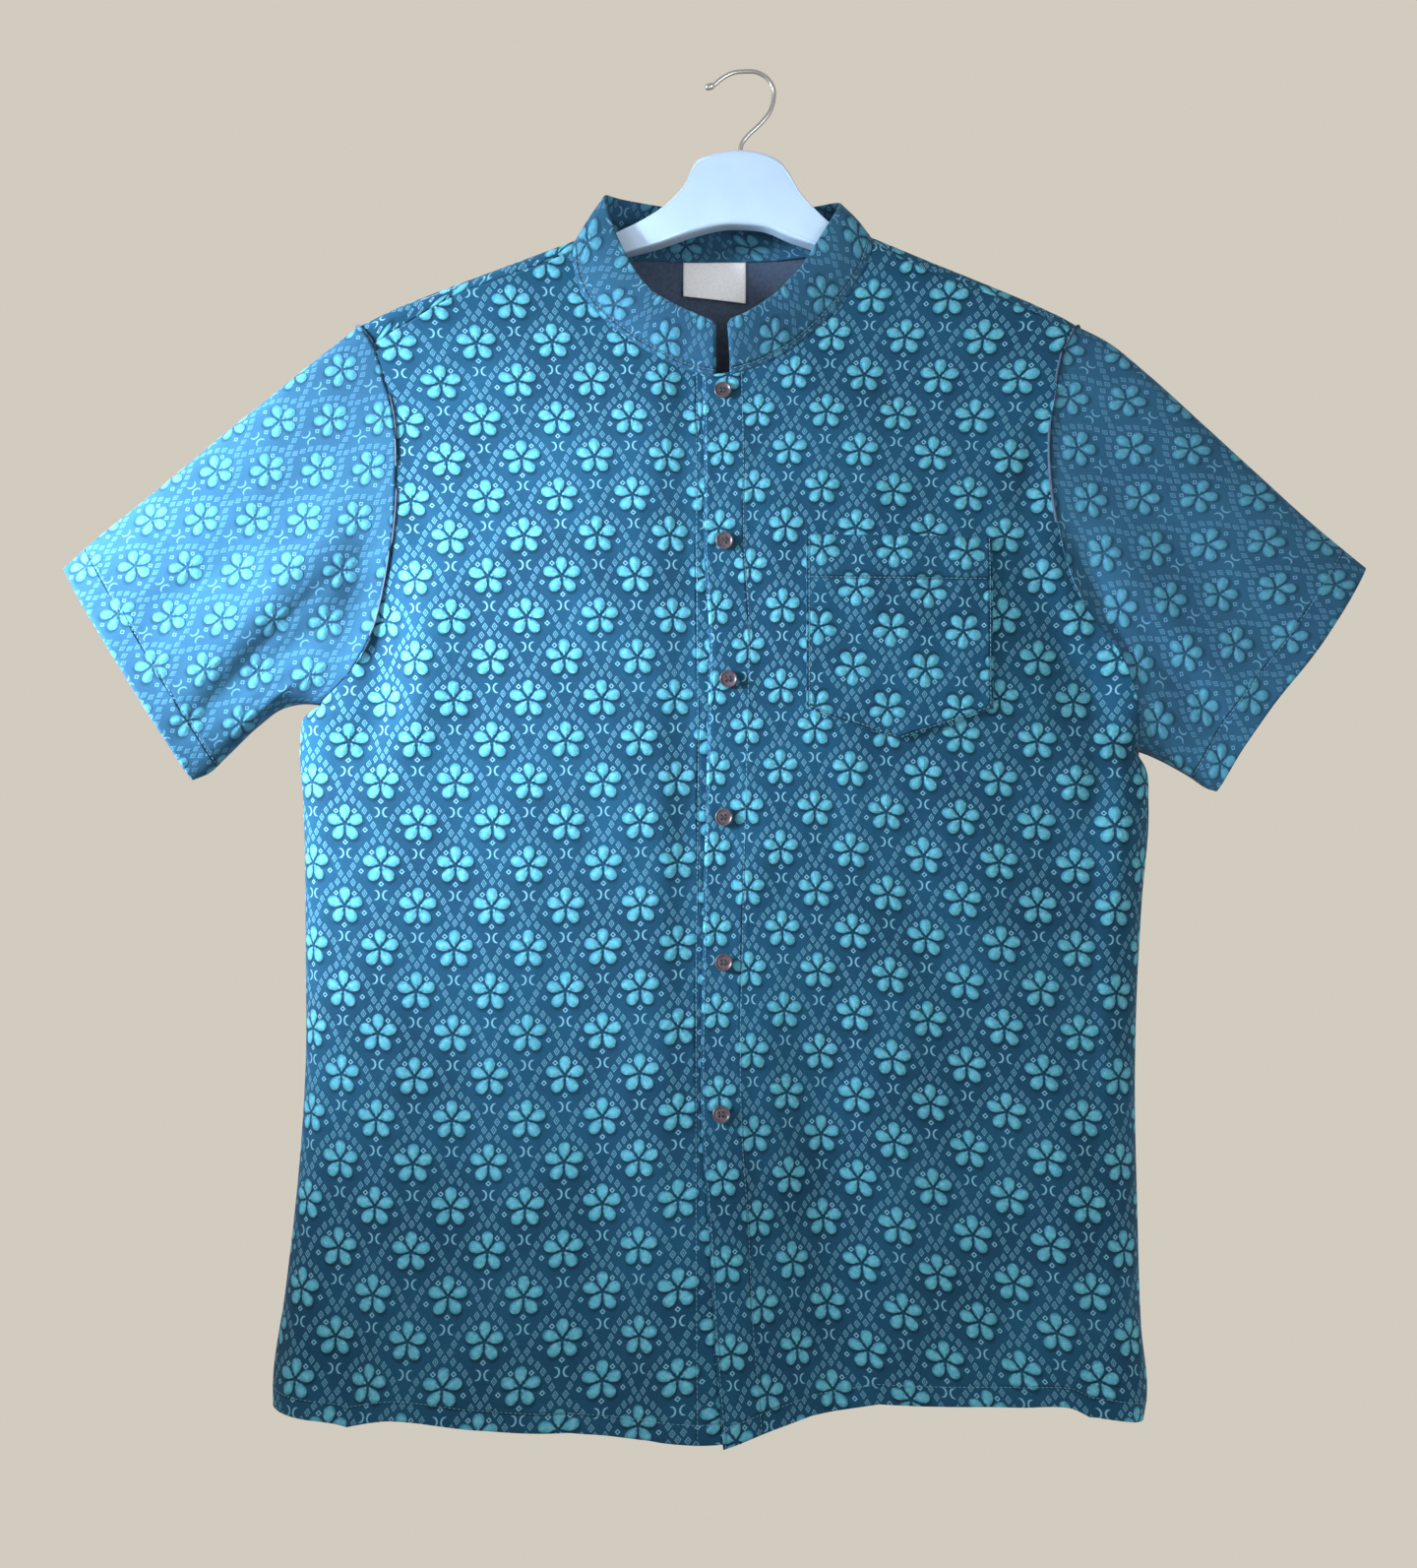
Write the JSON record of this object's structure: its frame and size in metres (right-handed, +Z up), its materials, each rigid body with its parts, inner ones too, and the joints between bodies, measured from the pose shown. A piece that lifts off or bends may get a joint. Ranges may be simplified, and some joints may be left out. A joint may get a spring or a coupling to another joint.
{
  "type": "mandarin collar shirt on hanger",
  "caption": "Short sleeved printed shirt with a mandarin collar, button front and chest pocket, hanging on a moulded hanger with a wire hook.",
  "frame": {"origin": "the inner crest of the hanger's hook, where it rests on what carries it", "axes": "+X to the wearer's left, +Y from the front of the shirt to its back, +Z up"},
  "size_m": [0.8599, 0.1198, 0.889],
  "materials": {
    "body_cloth": "matt woven cotton with a floral lattice print",
    "sleeve_cloth": "matt woven cotton, print turned to the sleeve",
    "collar_cloth": "matt woven cotton, print upside down",
    "button": "satin",
    "label": "satin ribbon, blank",
    "hanger": "satin moulded",
    "hook": "polished wire"
  },
  "bodies": {
    "root": {"front_right": "body_cloth", "front_left": "body_cloth", "back": "body_cloth", "sleeve_right": "sleeve_cloth", "sleeve_left": "sleeve_cloth", "collar": "collar_cloth", "pocket": "body_cloth", "button_1": "button", "button_2": "button", "button_3": "button", "button_4": "button", "button_5": "button", "button_6": "button", "label": "label", "hanger": "hanger", "hook": "hook", "ferrule": "hook"}
  },
  "joints": []
}
